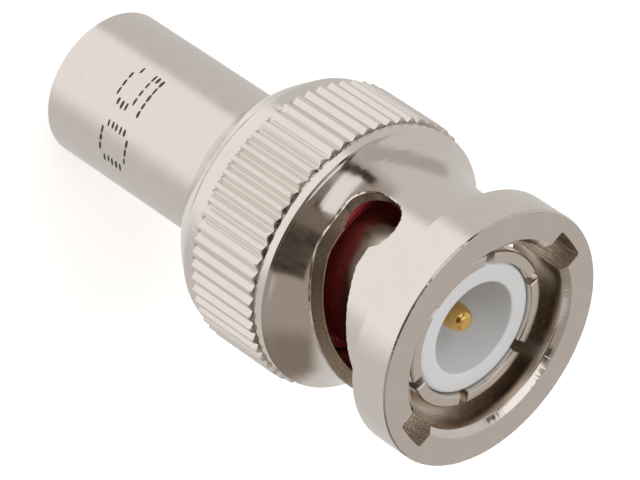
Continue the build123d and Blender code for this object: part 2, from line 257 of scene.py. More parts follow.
def new_piece(name, vertices, faces, body=None, replaces=None):
    """A mesh piece from points in millimetres; one with a body rides on it."""
    mesh = bpy.data.meshes.new(name)
    mesh.from_pydata([Vector(v) * MM for v in vertices], [], faces)
    mesh.validate()
    piece = bpy.data.objects.new(name, mesh)
    bpy.context.scene.collection.objects.link(piece)
    face_outwards(mesh)
    if body:
        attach(piece, body)
    if replaces:
        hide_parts(replaces)
    return piece


def face_outwards(mesh):
    """Turns a closed mesh's faces outwards."""
    shape = bmesh.new()
    shape.from_mesh(mesh)
    bmesh.ops.recalc_face_normals(shape, faces=shape.faces)
    if shape.calc_volume(signed=True) < 0:
        bmesh.ops.reverse_faces(shape, faces=shape.faces)
    shape.to_mesh(mesh)
    shape.free()


def smooth(piece, sharp_angle=32):
    """Smooth shading with the hard edges kept."""
    piece.data.shade_smooth()
    piece.data.set_sharp_from_angle(angle=radians(sharp_angle))


def even_angles(count):
    """Angles spaced evenly around the axis."""
    return [360 * i / count for i in range(count)]


def on_cylinder(radius, turn, z):
    """A point from its radius, its angle in radians and its height."""
    return (radius * cos(turn), radius * sin(turn), z)


def rounded(corners, steps=4):
    """A closed outline of (radius, height, rounding) corners with the corners rounded."""
    outline = []
    for i, (r, z, rounding) in enumerate(corners):
        here = Vector((r, z))
        if not rounding:
            outline.append((r, z))
            continue
        before = Vector(corners[i - 1][:2])
        after = Vector(corners[(i + 1) % len(corners)][:2])
        start = here + (before - here).normalized() * rounding
        end = here + (after - here).normalized() * rounding
        for step in range(steps + 1):
            t = step / steps
            point = start * (1 - t) ** 2 + here * (2 * t * (1 - t)) + end * t**2
            outline.append((point.x, point.y))
    return outline


def turned(outline, angles, bend=None):
    """Points and faces of a closed outline of (radius, height) turned about the axis."""
    vertices, faces, rings = [], [], []
    for r, z in outline:
        if r < 1e-6:
            rings.append([len(vertices)] * len(angles))
            vertices.append((0, 0, z))
            continue
        rings.append(range(len(vertices), len(vertices) + len(angles)))
        for angle in angles:
            radius, height = bend(angle, r, z) if bend else (r, z)
            vertices.append(on_cylinder(radius, radians(angle), height))
    for k, ring in enumerate(rings):
        after = rings[(k + 1) % len(rings)]
        for i in range(len(angles)):
            j = (i + 1) % len(angles)
            corners = [ring[i], ring[j], after[j], after[i]]
            corners = list(dict.fromkeys(corners))
            if len(corners) > 2:
                faces.append(corners)
    return vertices, faces


def wall_faces(first, layers, count):
    """Faces between stacked loops of count points, from the first point's number."""
    faces = []
    for low in range(first, first + (layers - 1) * count, count):
        for i in range(count):
            j = (i + 1) % count
            faces.append((low + i, low + j, low + count + j, low + count + i))
    return faces


def stack_faces(first, layers, count):
    """Faces of stacked loops with both ends closed."""
    last = first + (layers - 1) * count
    faces = wall_faces(first, layers, count)
    faces.append(tuple(reversed(range(first, first + count))))
    faces.append(tuple(range(last, last + count)))
    return faces


def cut(piece, tools):
    """Takes the tools' volumes out of a piece and deletes the tools."""
    group = bpy.data.collections.new("cutters")
    for tool in tools:
        group.objects.link(tool)
    modifier = piece.modifiers.new("cut", "BOOLEAN")
    modifier.operation = "DIFFERENCE"
    modifier.solver = "EXACT"
    modifier.operand_type = "COLLECTION"
    modifier.collection = group
    graph = bpy.context.evaluated_depsgraph_get()
    result = bpy.data.meshes.new_from_object(piece.evaluated_get(graph))
    piece.modifiers.clear()
    piece.data = result
    for tool in tools:
        bpy.data.objects.remove(tool)
    bpy.data.collections.remove(group)


# Coupling nut

def outside_radius(z):
    """Radius of the nut's outside in the cove, along the neck and on the ring."""
    if z < NECK_HEIGHT:
        across = COVE_RADIUS**2 - (NECK_HEIGHT - z) ** 2
        return NECK_RADIUS + COVE_RADIUS - sqrt(across)
    if z < RING_REAR - RING_FILLET:
        return NECK_RADIUS
    if z < RING_REAR:
        rise = z - RING_REAR + RING_FILLET
        return NECK_RADIUS + RING_FILLET - sqrt(RING_FILLET**2 - rise**2)
    return RING_RADIUS


def cove_length(radius):
    """How far behind the neck the cove has widened to a radius."""
    return sqrt(COVE_RADIUS**2 - (NECK_RADIUS + COVE_RADIUS - radius) ** 2)


def lip_and_heel():
    """Outline points from the rear lip over its crown to the knurl."""
    points = []
    for i in range(LIP_STEPS + 1):
        t = i / LIP_STEPS
        crown = LIP_CROWN * 4 * t * (1 - t)
        r = LIP_RADIUS + (HEEL_RADIUS - LIP_RADIUS) * t + crown * LIP_CROWN_LEAN
        z = LIP_REAR + (HEEL_HEIGHT - LIP_REAR) * t - crown * LIP_CROWN_LEAN
        points.append((r, z, 0))
    for out, up in HEEL_BEND:
        points.append((HEEL_RADIUS + out, HEEL_HEIGHT + up, 0))
    points.append((COLLAR_RADIUS, HEEL_HEIGHT + HEEL_BEND_LENGTH, HEEL_BEND_ROUNDING))
    return points


def knurl_and_collar(cove_rear):
    """Outline points along the knurl, with its end rows close together, and the collar."""
    collar_row, *knurl_rows = KNURL_REAR_ROWS
    points = [(COLLAR_RADIUS, KNURL_REAR + collar_row, 0)]
    for z in knurl_rows:
        points.append((KNURL_RADIUS, KNURL_REAR + z, 0))
    for z in KNURL_MIDDLE_ROWS:
        points.append((KNURL_RADIUS, z, 0))
    for z in KNURL_FRONT_ROWS:
        points.append((KNURL_RADIUS, KNURL_FRONT + z, 0))
    for sink, z in COLLAR_GROOVE:
        points.append((COLLAR_RADIUS - sink, KNURL_FRONT + z, 0))
    points.append((COLLAR_RADIUS, KNURL_FRONT + COLLAR_FLAT_START, 0))
    for out, back in COLLAR_EDGE:
        points.append((COLLAR_FRONT_RADIUS + out, cove_rear - back, 0))
    return points


def cove_and_ring(cove_rear):
    """Outline points of the cove, with its fine turned line, the neck and the ring."""
    points = []
    reach = asin((NECK_HEIGHT - cove_rear) / COVE_RADIUS)
    for i in range(1, COVE_STEPS + 1):
        turn = reach * (1 - i / COVE_STEPS)
        z = NECK_HEIGHT - COVE_RADIUS * sin(turn)
        sink = COVE_LINE_DEPTH * max(0.0, 1 - abs(z - COVE_LINE) / COVE_LINE_HALF_WIDTH)
        points.append((outside_radius(z) - sink, z, 0))
    for i in range(RING_FILLET_STEPS + 1):
        z = RING_REAR - RING_FILLET + RING_FILLET * sin(pi / 2 * i / RING_FILLET_STEPS)
        points.append((outside_radius(z - 1e-6), z, 0))
    return points + [
        (RING_RADIUS, RING_REAR, 0.04),
        (RING_RADIUS, (RING_REAR + NOSE_FACE) / 2, 0),
        (RING_RADIUS, NOSE_FACE - RING_EDGE_LENGTH, 0.03),
        (RING_RADIUS - RING_EDGE, NOSE_FACE, 0.03),
    ]


def nut_inside():
    """Outline points from the nose face down the bore and the chamber to the lip."""
    mouth = NUT_BORE + NUT_BORE_CHAMFER
    points = [
        ((RING_RADIUS + mouth) / 2, NOSE_FACE, 0),
        (mouth, NOSE_FACE, 0.04),
        (NUT_BORE, NOSE_FACE - NUT_BORE_CHAMFER_LENGTH, 0.05),
    ]
    for z in NUT_BORE_ROWS:
        points.append((NUT_BORE, z, 0))
    return points + [
        (NUT_BORE, CHAMBER_FRONT, 0.03),
        (CHAMBER_RADIUS, CHAMBER_FRONT, 0),
        (CHAMBER_RADIUS, CHAMBER_REAR, 0),
        (LIP_BORE, CHAMBER_REAR, 0.05),
        (LIP_BORE, LIP_REAR, 0.08),
    ]


def nut_outline():
    """The nut's closed outline."""
    cove_rear = NECK_HEIGHT - cove_length(COLLAR_FRONT_RADIUS)
    outside = lip_and_heel() + knurl_and_collar(cove_rear) + cove_and_ring(cove_rear)
    return rounded(outside + nut_inside(), steps=3)


def knurl_angles():
    """Angles for the nut's mesh."""
    return [KNURL_ANGLE + KNURL_PITCH * k + a for k in range(KNURLS) for a in KNURL_PATTERN]


def knurl_bend():
    """How the blank's points move: knurl grooves with burrs, and nicks on the nose face."""
    draw = random.Random(7)
    burrs = [draw.uniform(*BURR_DEPTHS) for _ in range(KNURLS)]
    lifts = [draw.uniform(*RIDGE_LIFTS) for _ in range(KNURLS)]
    nicks = [draw.uniform(-1, 1) for _ in range(360 * NICKS_PER_DEGREE)]

    def nicked(angle, r):
        """The radius of a point of the nose face."""
        nick = nicks[int(angle * NICKS_PER_DEGREE) % len(nicks)]
        if r > RING_RADIUS - RING_EDGE - NICK_OUTER_REACH:
            return r + NICK_OUTER * nick
        if r < NUT_BORE + NUT_BORE_CHAMFER + NICK_INNER_REACH:
            return r + NICK_INNER * nick
        return r

    def collar_burr(groove, burr, r, z):
        """A point of the collar, pushed out by the burr of the groove behind it."""
        lip = max(0.0, groove * 1.3 - 0.3) * max(0.0, 1 - (z - KNURL_FRONT) / BURR_REACH)
        return r + lip * burr * 0.7, z + lip * burr * 0.4

    def bend(angle, r, z):
        """The moved radius and height of a point of the blank."""
        if z > NOSE_FACE - NOSE_FACE_DEPTH:
            return nicked(angle, r), z
        in_knurl = KNURL_REAR - KNURL_STEP <= z <= KNURL_FRONT + BURR_LENGTH
        if not in_knurl or r < COLLAR_RADIUS - GROOVE_DEPTH:
            return r, z
        place = (angle - KNURL_ANGLE + KNURL_PITCH / 2) % 360
        index = int(place // KNURL_PITCH) % KNURLS
        off = abs(place % KNURL_PITCH - KNURL_PITCH / 2)
        groove = max(0.0, 1 - off / KNURL_HALF_WIDTH)
        burr = burrs[index]
        if z > KNURL_FRONT + KNURL_FRONT_LIMIT:
            return collar_burr(groove, burr, r, z)
        step = min(1.0, max(0.0, (z - KNURL_REAR + KNURL_STEP) / KNURL_STEP))
        radius = COLLAR_RADIUS + (r - COLLAR_RADIUS) * step
        radius += (1 - groove) * (RIDGE_DRIFT * sin(3.1 * index) - RIDGE_REAR_SINK * (1 - step))
        depth = (radius - COLLAR_RADIUS + KNURL_OVERCUT) * min(1.0, groove * 1.08)
        if z > KNURL_FRONT - BURR_LENGTH:
            near = (z - KNURL_FRONT + BURR_LENGTH) / BURR_RUN
            depth -= groove * near**2 * burr
            z += near * (groove * burr * 0.8 + (1 - groove) * lifts[index])
            radius -= RIDGE_FRONT_SINK * near**3
        return radius - depth, z

    return bend


def slot_tool(name, lower, upper, bore_flare=-SLOT_BURR / SLOT_EDGE):
    """A cutter through the nut's wall, flared where it meets the bore and the outside.

    The outline's two sides are (angle, height) points that face each other in pairs."""
    outline = lower + upper[::-1]
    count = len(outline)
    flat = [Vector((radians(a) * SLOT_MIDDLE, z)) for a, z in outline]
    outward = []
    for i in range(count):
        along = flat[(i + 1) % count] - flat[i - 1]
        outward.append(Vector((along.y, -along.x)).normalized())
    # The radius of each layer at a height, and its flare
    layers = (
        (lambda z: NUT_BORE - SLOT_TOOL_START, bore_flare),
        (lambda z: NUT_BORE + 0.01, bore_flare),
        (lambda z: NUT_BORE + 0.05, max(bore_flare, 0) * 0.85),
        (lambda z: NUT_BORE + 0.35, 0.0),
        (lambda z: outside_radius(z) - SLOT_EDGE, 0.0),
        (lambda z: outside_radius(z) - SLOT_EDGE * 0.8, 0.15),
        (lambda z: outside_radius(z) + 0.01, 1.0),
        (lambda z: outside_radius(z) + 0.1, 1.15),
        (lambda z: SLOT_TOOL_REACH, 1.2),
    )
    draw = random.Random(len(outline))
    rough = [draw.uniform(*SLOT_ROUGHNESS) for _ in outline]
    vertices = []
    for radius_at, flare in layers:
        for point, side, share in zip(flat, outward, rough):
            place = point + side * SLOT_EDGE * flare * (share if flare > 0.5 else 1)
            vertices.append(on_cylinder(radius_at(point.y), place.x / SLOT_MIDDLE, place.y))
    faces = wall_faces(0, len(layers), count)
    for start in (0, (len(layers) - 1) * count):
        for i in range(len(lower) - 1):
            across = count - 1 - i
            faces.append((start + i, start + i + 1, start + across - 1, start + across))
    return new_piece(name, vertices, faces)


def ramp_height(angle):
    """Height of the ramp's middle line at an angle."""
    return RAMP_END_HEIGHT + RAMP_LEAD * (angle - RAMP_END_ANGLE) / 360


def ramp_sides():
    """The two sides of the slot's run: level from the seat, then up the ramp to the entry."""
    angles = [SEAT_ANGLE + LEVEL_START + LEVEL_STEP * i for i in range(LEVEL_STEPS)]
    angles.append(RAMP_END_ANGLE - LEVEL_END)
    centre = [(angle, RAMP_END_HEIGHT) for angle in angles]
    for i in range(RAMP_STEPS + 1):
        angle = RAMP_END_ANGLE + (ENTRY_ANGLE - RAMP_END_ANGLE) * i / RAMP_STEPS
        centre.append((angle, ramp_height(angle)))
    flat = [Vector((radians(a) * SLOT_MIDDLE, z)) for a, z in centre]
    lower, upper = [], []
    for i, point in enumerate(flat):
        along = (flat[min(i + 1, len(flat) - 1)] - flat[max(i - 1, 0)]).normalized()
        side = Vector((along.y, -along.x)) * SLOT_HALF_WIDTH
        lower.append(point + side)
        upper.append(point - side)
    start = atan2(side.y, side.x)
    for i in range(1, RAMP_ROUND_STEPS):
        swing = pi / 2 * (i - 0.3) / RAMP_ROUND_STEPS
        for edge, turn in ((lower, start + swing), (upper, start + pi - swing)):
            edge.append(flat[-1] + Vector((cos(turn), sin(turn))) * SLOT_HALF_WIDTH)
    return [[(degrees(p.x / SLOT_MIDDLE), p.y) for p in edge] for edge in (lower, upper)]


def seat_sides():
    """The two sides of the round seat at the slot's inner end."""
    lower, upper = [], []
    for i in range(SEAT_STEPS):
        turn = pi * (i + 0.5) / SEAT_STEPS
        angle = SEAT_ANGLE - degrees(SEAT_RADIUS * cos(turn) / SLOT_MIDDLE)
        lower.append((angle, SEAT_HEIGHT - SEAT_RADIUS * sin(turn)))
        upper.append((angle, SEAT_HEIGHT + SEAT_RADIUS * sin(turn)))
    return lower, upper


def entry_tool(name):
    """The straight channel from the nose face down to the ramp, its mouth flared."""
    half = SLOT_HALF_WIDTH
    corner = [
        (NUT_BORE - 0.5, -half),
        (ENTRY_FLOOR - ENTRY_CORNER, -half),
        (ENTRY_FLOOR - ENTRY_CORNER_SINK, -half + ENTRY_CORNER_INSET),
    ]
    loop = list(corner)
    for share in ENTRY_FLOOR_SHARES:
        crown = ENTRY_CROWN * cos(share * pi / 2)
        loop.append((ENTRY_FLOOR + crown, share * half * 0.9))
    loop += [(x, -y) for x, y in reversed(corner)]
    layers = (
        (ramp_height(ENTRY_ANGLE), 0.0),
        (NOSE_FACE - 0.06, 0.0),
        (NOSE_FACE - 0.015, 0.3),
        (NOSE_FACE + 0.01, 1.2),
        (NOSE_FACE + 0.5, 2.0),
    )
    vertices = []
    for z, flare in layers:
        grow = ENTRY_EDGE * flare
        for x, y in loop:
            side = 0 if abs(y) < half * 0.5 else (1 if y > 0 else -1)
            outer = 1 if x > NUT_BORE else 0
            vertices.append((x + grow * outer, y + grow * side, z))
    tool = new_piece(name, vertices, stack_faces(0, len(layers), len(loop)))
    tool.data.transform(Matrix.Rotation(radians(ENTRY_ANGLE), 4, "Z"))
    return tool


def coupling_nut(materials):
    """The nut: turned blank with its knurl, less the two bayonet slots."""
    vertices, faces = turned(nut_outline(), knurl_angles(), knurl_bend())
    nut = new_piece("nut_shell", vertices, faces, "nut", "coupling_nut")
    for material in materials:
        nut.data.materials.append(material)
    tools = []
    for side in (0, 180):
        turn = Matrix.Rotation(radians(side), 4, "Z")
        made = (
            (slot_tool(f"ramp_{side}", *ramp_sides()), MILLED_SHADED),
            (slot_tool(f"seat_{side}", *seat_sides(), bore_flare=SEAT_FLARE), MILLED_SHADED),
            (entry_tool(f"entry_{side}"), BROACHED_SHADED),
        )
        for tool, finish_and_shade in made:
            tool.data.transform(turn)
            for material in materials:
                tool.data.materials.append(material)
            # The slot walls take the milled or broached material: darker, browner nickel with
            # painted shade.
            for face in tool.data.polygons:
                face.material_index = finish_and_shade
            tools.append(tool)
    cut(nut, tools)
    shade_and_finish_nut_faces(nut)
    smooth(nut, 30)


def shade_and_finish_nut_faces(nut):
    """Gives the bore its darker material with painted shade, and the slots' broken edges the
    plated material of the outside.
    """
    for face in nut.data.polygons:
        middle = face.center / MM
        radius = hypot(middle.x, middle.y)
        if face.material_index == PLATED:
            if radius < NUT_BORE + 0.01 and middle.z < SHADED_BORE_TOP:
                face.material_index = BORED_SHADED
        elif face.material_index == MILLED_SHADED and middle.z < MILLED_SHADED_TOP:
            if radius > outside_radius(middle.z) - SLOT_EDGE:
                face.material_index = PLATED


# Barrel, contact, insulator, pin and gasket

def barrel():
    """The barrel with its rear edge broken."""
    outline = rounded([
        (0, 0, 0),
        (BARREL_RADIUS - BARREL_RIM, 0, 0),
        (BARREL_RADIUS, 0, BARREL_EDGE),
        *[(BARREL_RADIUS, z, 0) for z in BARREL_ROWS],
        (BARREL_RADIUS, BARREL_TOP, 0.03),
        (BARREL_BORE, BARREL_TOP, 0.03),
        (BARREL_BORE, BARREL_END_WALL, 0),
        (0, BARREL_END_WALL, 0),
    ], steps=5)
    vertices, faces = turned(outline, even_angles(240))
    tube = new_piece("barrel_tube", vertices, faces, "root", "barrel")
    smooth(tube)
    return tube


def dash_points(first, last, height, half):
    """Corners of one printed dash between two angles, thinner at its ends."""
    points = []
    for step in range(INK_STEPS + 1):
        turn = radians(first + (last - first) * step / INK_STEPS)
        thin = half * (INK_END_SHARE if step in (0, INK_STEPS) else 1)
        low, high = height - thin, height + thin
        inner, outer = BARREL_RADIUS - INK_SINK, BARREL_RADIUS + INK_THICKNESS
        for radius, z in ((inner, low), (outer, low), (outer, high), (inner, high)):
            points.append(on_cylinder(radius, turn, z))
    return points


def ink_numerals():
    """Printed numerals on the barrel, each made of short dashes."""
    draw = random.Random(5)
    vertices, faces = [], []
    for start, rows in NUMERALS:
        for row, marks in enumerate(rows):
            drift = draw.uniform(-INK_HEIGHT_DRIFT, INK_HEIGHT_DRIFT)
            height = INK_TOP - INK_ROW * row + drift
            for column, mark in enumerate(marks):
                if mark != "#":
                    continue
                drift = draw.uniform(-INK_ANGLE_DRIFT, INK_ANGLE_DRIFT)
                first = start + INK_COLUMN * column + drift
                last = first + INK_DASH * draw.uniform(*INK_LENGTH_SHARES)
                half = INK_HALF_HEIGHT * draw.uniform(*INK_HEIGHT_SHARES)
                faces += stack_faces(len(vertices), INK_STEPS + 1, 4)
                vertices += dash_points(first, last, height, half)
    return new_piece("ink_numerals", vertices, faces, "root")


def outer_contact():
    """The sleeve with rounded fingers, sawn at the tip."""
    bead = CONTACT_TIP - CONTACT_BEAD
    outline = rounded([
        (CONTACT_TIP_RADIUS, CONTACT_TIP, 0.2),
        (CONTACT_BORE + CONTACT_MOUTH, CONTACT_TIP, 0.14),
        (CONTACT_BORE, CONTACT_TIP - CONTACT_MOUTH_LENGTH, 0),
        (CONTACT_BORE, CONTACT_BORE_ROW, 0),
        (CONTACT_BORE, CONTACT_FLOOR, 0),
        (CONTACT_ROOT_BORE, CONTACT_FLOOR, 0),
        (CONTACT_ROOT_BORE, CONTACT_REAR, 0),
        (CONTACT_ROOT_RADIUS, CONTACT_REAR, 0),
        (CONTACT_ROOT_RADIUS, FLANGE_FRONT, 0),
        (CONTACT_SLEEVE, FLANGE_FRONT, 0),
        (CONTACT_SLEEVE, CONTACT_SLEEVE_ROW, 0),
        (CONTACT_SLEEVE, bead - CONTACT_BEAD, 0.2),
        (CONTACT_TIP_RADIUS, bead, 0.3),
    ], steps=6)
    vertices, faces = turned(outline, even_angles(240))
    sleeve = new_piece("finger_sleeve", vertices, faces, "root", "outer_contact")
    tools = []
    for k in range(FINGERS):
        turn = radians(FINGER_SLOT_ANGLE + 360 / FINGERS * k)
        tool = saw_tool(f"saw_{k}")
        tool.data.transform(Matrix.Rotation(turn, 4, "Z"))
        tools.append(tool)
    cut(sleeve, tools)
    smooth(sleeve)
    return sleeve


def saw_tool(name):
    """A saw cut's box with the finger corners broken at the tip."""
    inner, outer = CONTACT_BORE - SAW_OVERRUN, CONTACT_TIP_RADIUS + SAW_OVERRUN
    layers = [(CONTACT_TIP - FINGER_SLOT_DEPTH, 0)]
    layers += [(CONTACT_TIP + past_tip, flare) for past_tip, flare in SAW_FLARE]
    vertices = []
    for z, flare in layers:
        wide = FINGER_SLOT_WIDTH / 2 + flare
        vertices += [(inner, -wide, z), (outer, -wide, z), (outer, wide, z), (inner, wide, z)]
    return new_piece(name, vertices, stack_faces(0, len(layers), 4))


def front_insulator():
    """The white cup around the pin."""
    outline = rounded([
        (PIN_SHAFT + FIT, CONTACT_FLOOR, 0),
        (INSULATOR_RADIUS, CONTACT_FLOOR, 0),
        (INSULATOR_RADIUS, INSULATOR_ROW, 0),
        (INSULATOR_RADIUS, INSULATOR_TIP, 0.26),
        (SOCKET_RADIUS, INSULATOR_TIP, 0.12),
        (SOCKET_RADIUS, SOCKET_ROW, 0),
        (SOCKET_RADIUS, SOCKET_FLOOR, 0.1),
        (PIN_SHAFT + FIT, SOCKET_FLOOR, 0),
    ], steps=5)
    vertices, faces = turned(outline, even_angles(180))
    cup = new_piece("insulator_cup", vertices, faces, "root", "front_insulator")
    smooth(cup)
    return cup


def centre_contact():
    """The gold pin with its domed nose."""
    nose = []
    for i in range(1, PIN_NOSE_STEPS + 1):
        turn = pi / 2 * i / PIN_NOSE_STEPS
        r = PIN_NOSE_RADIUS + (PIN_RADIUS - PIN_NOSE_RADIUS) * cos(turn)
        nose.append((r, PIN_TIP - PIN_NOSE_LENGTH * (1 - sin(turn)), 0))
    outline = rounded([
        (0, PIN_TIP, 0),
        (0, PIN_BORE_FRONT, 0),
        (PIN_BORE, PIN_BORE_FRONT, 0),
        (PIN_BORE, PIN_REAR, 0.03),
        (PIN_TAIL, PIN_REAR, 0.05),
        (PIN_TAIL, PIN_TAIL_FRONT, 0.03),
        (PIN_SHAFT, PIN_TAIL_FRONT, 0),
        (PIN_SHAFT, PIN_SHOULDER_REAR, 0),
        (PIN_SHOULDER, PIN_SHOULDER_REAR, 0.03),
        (PIN_SHOULDER, CONTACT_FLOOR - FIT, 0.03),
        (PIN_SHAFT, CONTACT_FLOOR - FIT, 0),
        (PIN_SHAFT, SOCKET_FLOOR + FIT, 0),
        (PIN_RADIUS, SOCKET_FLOOR + FIT, 0.03),
        (PIN_RADIUS, PIN_TIP - PIN_NOSE_LENGTH, 0),
        *nose,
    ], steps=6)
    vertices, faces = turned(outline, even_angles(96))
    pin = new_piece("gold_pin", vertices, faces, "root", "centre_contact")
    smooth(pin)
    return pin


def gasket():
    """The red ring at the bottom of the bore."""
    outline = rounded([
        (GASKET_INNER, FLANGE_FRONT, 0),
        (GASKET_OUTER, FLANGE_FRONT, 0.06),
        (GASKET_OUTER, GASKET_OUTER_TOP, 0.12),
        (GASKET_INNER + GASKET_SLOPE, GASKET_INNER_TOP, 0.08),
        (GASKET_INNER, GASKET_INNER_TOP, 0.04),
    ], steps=6)
    vertices, faces = turned(outline, even_angles(144))
    ring = new_piece("red_gasket", vertices, faces, "root", "gasket")
    smooth(ring)
    return ring


# Shader nodes. A value given to one of these is a number or another node's socket.

def set_input(tree, socket, value):
    """Sets a socket to a number, or links another socket to it."""
    if isinstance(value, (int, float)):
        socket.default_value = value
    else:
        tree.links.new(value, socket)


def compute(tree, operation, *values):
    """The result of a maths node."""
    made = tree.nodes.new("ShaderNodeMath")
    made.operation = operation
    for socket, value in zip(made.inputs, values):
        set_input(tree, socket, value)
    return made.outputs[0]


def add(tree, first, second):
    """The sum of two values."""
    return compute(tree, "ADD", first, second)


def times(tree, first, second):
    """The product of two values."""
    return compute(tree, "MULTIPLY", first, second)


def length(tree, x, y):
    """The length of a flat vector."""
    return compute(tree, "SQRT", add(tree, times(tree, x, x), times(tree, y, y)))


def joined(tree, x, y, z):
    """A vector from three values."""
    made = tree.nodes.new("ShaderNodeCombineXYZ")
    for socket, value in zip(made.inputs, (x, y, z)):
        set_input(tree, socket, value)
    return made.outputs[0]


def place_in_mm(tree):
    """The three coordinates of the shaded point, in millimetres."""
    place = tree.nodes.new("ShaderNodeTexCoord").outputs["Object"]
    split = tree.nodes.new("ShaderNodeSeparateXYZ")
    tree.links.new(place, split.inputs[0])
    return [times(tree, socket, 1 / MM) for socket in split.outputs]


def noise(tree, vector, scale, detail=3.0, roughness=0.5):
    """The value of a noise texture."""
    made = tree.nodes.new("ShaderNodeTexNoise")
    made.inputs["Scale"].default_value = scale
    made.inputs["Detail"].default_value = detail
    made.inputs["Roughness"].default_value = roughness
    tree.links.new(vector, made.inputs["Vector"])
    return made.outputs[0]


def spread(tree, value, low, high):
    """Maps a noise value's middle range to low and high."""
    made = tree.nodes.new("ShaderNodeMapRange")
    made.inputs["From Min"].default_value = 0.3
    made.inputs["From Max"].default_value = 0.7
    made.inputs["To Min"].default_value = low
    made.inputs["To Max"].default_value = high
    tree.links.new(value, made.inputs["Value"])
    return made.outputs[0]


def colour_between(tree, share, first, second):
    """The colour at a share of the way from the first to the second."""
    made = tree.nodes.new("ShaderNodeMix")
    made.data_type = "RGBA"
    made.inputs["A"].default_value = (*first, 1)
    made.inputs["B"].default_value = (*second, 1)
    tree.links.new(share, made.inputs["Factor"])
    return made.outputs["Result"]


# Materials

def new_material(name, rgb, metallic=0.0, roughness=0.5):
    """A node material and its Principled shader."""
    material = bpy.data.materials.new(name)
    material.use_nodes = True
    shader = material.node_tree.nodes["Principled BSDF"]
    shader.inputs["Base Color"].default_value = (*rgb, 1)
    shader.inputs["Metallic"].default_value = metallic
    shader.inputs["Roughness"].default_value = roughness
    return material, shader


def vary_tone(tree, shader, share, rgb, darkest, lightest):
    """Lets a shader's colour vary between two multiples of it."""
    dark = [c * darkest for c in rgb]
    light = [min(1, c * lightest) for c in rgb]
    tree.links.new(colour_between(tree, share, dark, light), shader.inputs["Base Color"])


def add_relief(tree, shader, height, depth):
    """Gives a shader fine relief of a depth in millimetres."""
    bump = tree.nodes.new("ShaderNodeBump")
    bump.inputs["Strength"].default_value = 1.0
    bump.inputs["Distance"].default_value = depth * MM
    tree.links.new(height, bump.inputs["Height"])
    tree.links.new(bump.outputs[0], shader.inputs["Normal"])


def turned_metal(name, rgb, roughness, lines=1.0, haze=0.05, wave=0.3):
    """Plated turned metal: fine tool lines around the axis, patches of haze, a slight waviness."""
    material, shader = new_material(name, rgb, 1.0, roughness)
    tree = material.node_tree
    x, y, z = place_in_mm(tree)
    angle = compute(tree, "ARCTAN2", y, x)
    around = joined(
        tree,
        times(tree, compute(tree, "COSINE", angle), 0.5),
        times(tree, compute(tree, "SINE", angle), 0.5),
        add(tree, times(tree, z, 9.0), times(tree, length(tree, x, y), 9.0)),
    )
    fine = noise(tree, around, 2.2, 4.0, 0.65)
    point = joined(tree, x, y, z)
    patches = noise(tree, point, 0.9, 4.0, 0.6)
    grain = noise(tree, point, 14.0, 2.0, 0.5)
    hazy = spread(tree, patches, roughness - haze, roughness + haze)
    tree.links.new(add(tree, hazy, spread(tree, fine, -0.03, 0.03)), shader.inputs["Roughness"])
    share = spread(tree, times(tree, add(tree, patches, fine), 0.5), 0, 1)
    vary_tone(tree, shader, share, rgb, 0.94, 1.04)
    height = add(tree, times(tree, fine, lines), times(tree, patches, wave))
    add_relief(tree, shader, add(tree, height, times(tree, grain, 0.15)), 0.0015)
    return material


def milled_metal(name, rgb, roughness, depth):
    """Plated metal as a cutter leaves it: lines along the axis and specks."""
    material, shader = new_material(name, rgb, 1.0, roughness)
    tree = material.node_tree
    x, y, z = place_in_mm(tree)
    lines = noise(tree, joined(tree, x, y, times(tree, z, 0.12)), 9.0, 3.0, 0.6)
    specks = noise(tree, joined(tree, x, y, z), 11.0, 3.0, 0.6)
    vary_tone(tree, shader, spread(tree, lines, 0, 1), rgb, 0.75, 1.25)
    add_relief(tree, shader, add(tree, lines, times(tree, specks, 0.6)), depth)
    return material


def plain_material(name, rgb, roughness, variation, scale):
    """A material without metal, whose colour and roughness vary a little with fine noise."""
    material, shader = new_material(name, rgb, 0.0, roughness)
    tree = material.node_tree
    place = tree.nodes.new("ShaderNodeTexCoord").outputs["Object"]
    speck = noise(tree, place, scale / MM, 4.0)
    vary_tone(tree, shader, spread(tree, speck, 0, 1), rgb, 1 - variation, 1 + variation)
    rough = spread(tree, speck, roughness - 0.05, roughness + 0.05)
    tree.links.new(rough, shader.inputs["Roughness"])
    add_relief(tree, shader, speck, 0.002)
    return material


def let_light_in(material, share, depth):
    """Lets light into a plastic, to a depth in millimetres."""
    shader = material.node_tree.nodes["Principled BSDF"]
    shader.inputs["Subsurface Weight"].default_value = share
    shader.inputs["Subsurface Radius"].default_value = (depth * MM,) * 3
    shader.inputs["Subsurface Scale"].default_value = 1.0


def dress(piece, material):
    """Gives a piece one material."""
    piece.data.materials.clear()
    piece.data.materials.append(material)


# Studio. A place in it is an azimuth and an elevation in the frame, in degrees, and its
# brightness is painted layer over layer.

def direction(azimuth, elevation):
    """A unit vector from angles in the frame."""
    a, e = radians(azimuth), radians(elevation)
    return Vector((cos(e) * cos(a), cos(e) * sin(a), sin(e)))


def mirrored(angle, z):
    """Azimuth and elevation of what the camera sees mirrored at a place on the cove."""
    tilt = asin((NECK_HEIGHT - z) / COVE_RADIUS)
    normal = direction(angle, degrees(tilt))
    place = Vector(on_cylinder(outside_radius(z), radians(angle), z))
    view = (Vector(CAMERA_PLACE) - place).normalized()
    seen = normal * (2 * normal.dot(view)) - view
    return degrees(atan2(seen.y, seen.x)), degrees(asin(seen.z))


def smooth_step(tree, value, start, end):
    """A smooth step from 0 at start to 1 at end."""
    made = tree.nodes.new("ShaderNodeMapRange")
    made.interpolation_type = "SMOOTHSTEP"
    made.inputs["From Min"].default_value = start
    made.inputs["From Max"].default_value = end
    tree.links.new(value, made.inputs["Value"])
    return made.outputs[0]


def share_along(tree, vector):
    """The share of the view's direction along a vector."""
    dot = tree.nodes.new("ShaderNodeVectorMath")
    dot.operation = "DOT_PRODUCT"
    tree.links.new(tree.nodes["look"].outputs["Generated"], dot.inputs[0])
    dot.inputs[1].default_value = vector
    return dot.outputs["Value"]


